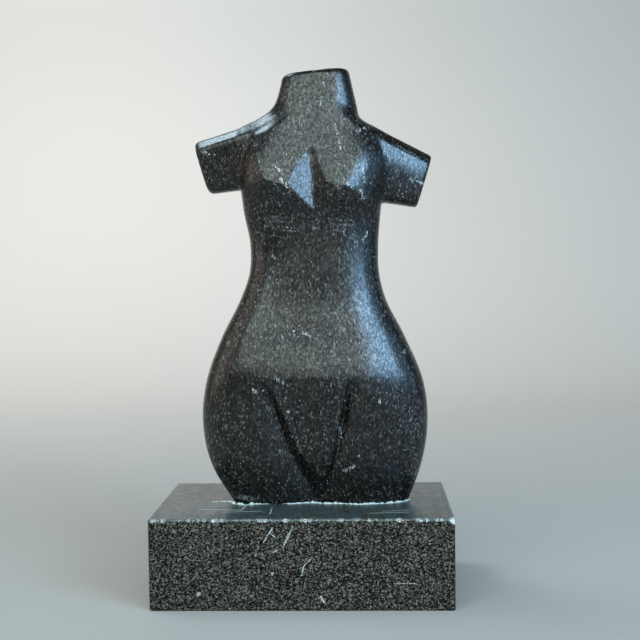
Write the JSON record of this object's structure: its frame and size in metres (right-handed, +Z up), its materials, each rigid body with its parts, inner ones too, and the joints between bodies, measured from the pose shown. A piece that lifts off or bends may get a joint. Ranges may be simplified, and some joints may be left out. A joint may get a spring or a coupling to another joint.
{
  "type": "stone female torso sculpture on a plinth",
  "caption": "Small carved stone torso of a woman, ending at the neck, upper arms and thighs, fixed upright on a sawn rectangular stone plinth.",
  "frame": {"origin": "centre of the plinth's underside", "axes": "+Z up from the plinth to the neck, the figure faces -Y, +X towards the figure's left arm"},
  "size_m": [0.127, 0.076, 0.2279],
  "materials": {
    "figure_stone": "dark green-grey stone, polished, with fine pale grains and dust in its pores",
    "plinth_stone": "dark grey speckled stone, sawn and honed sides, polished top"
  },
  "bodies": {
    "root": {"torso": "figure_stone", "plinth": "plinth_stone"}
  },
  "joints": []
}
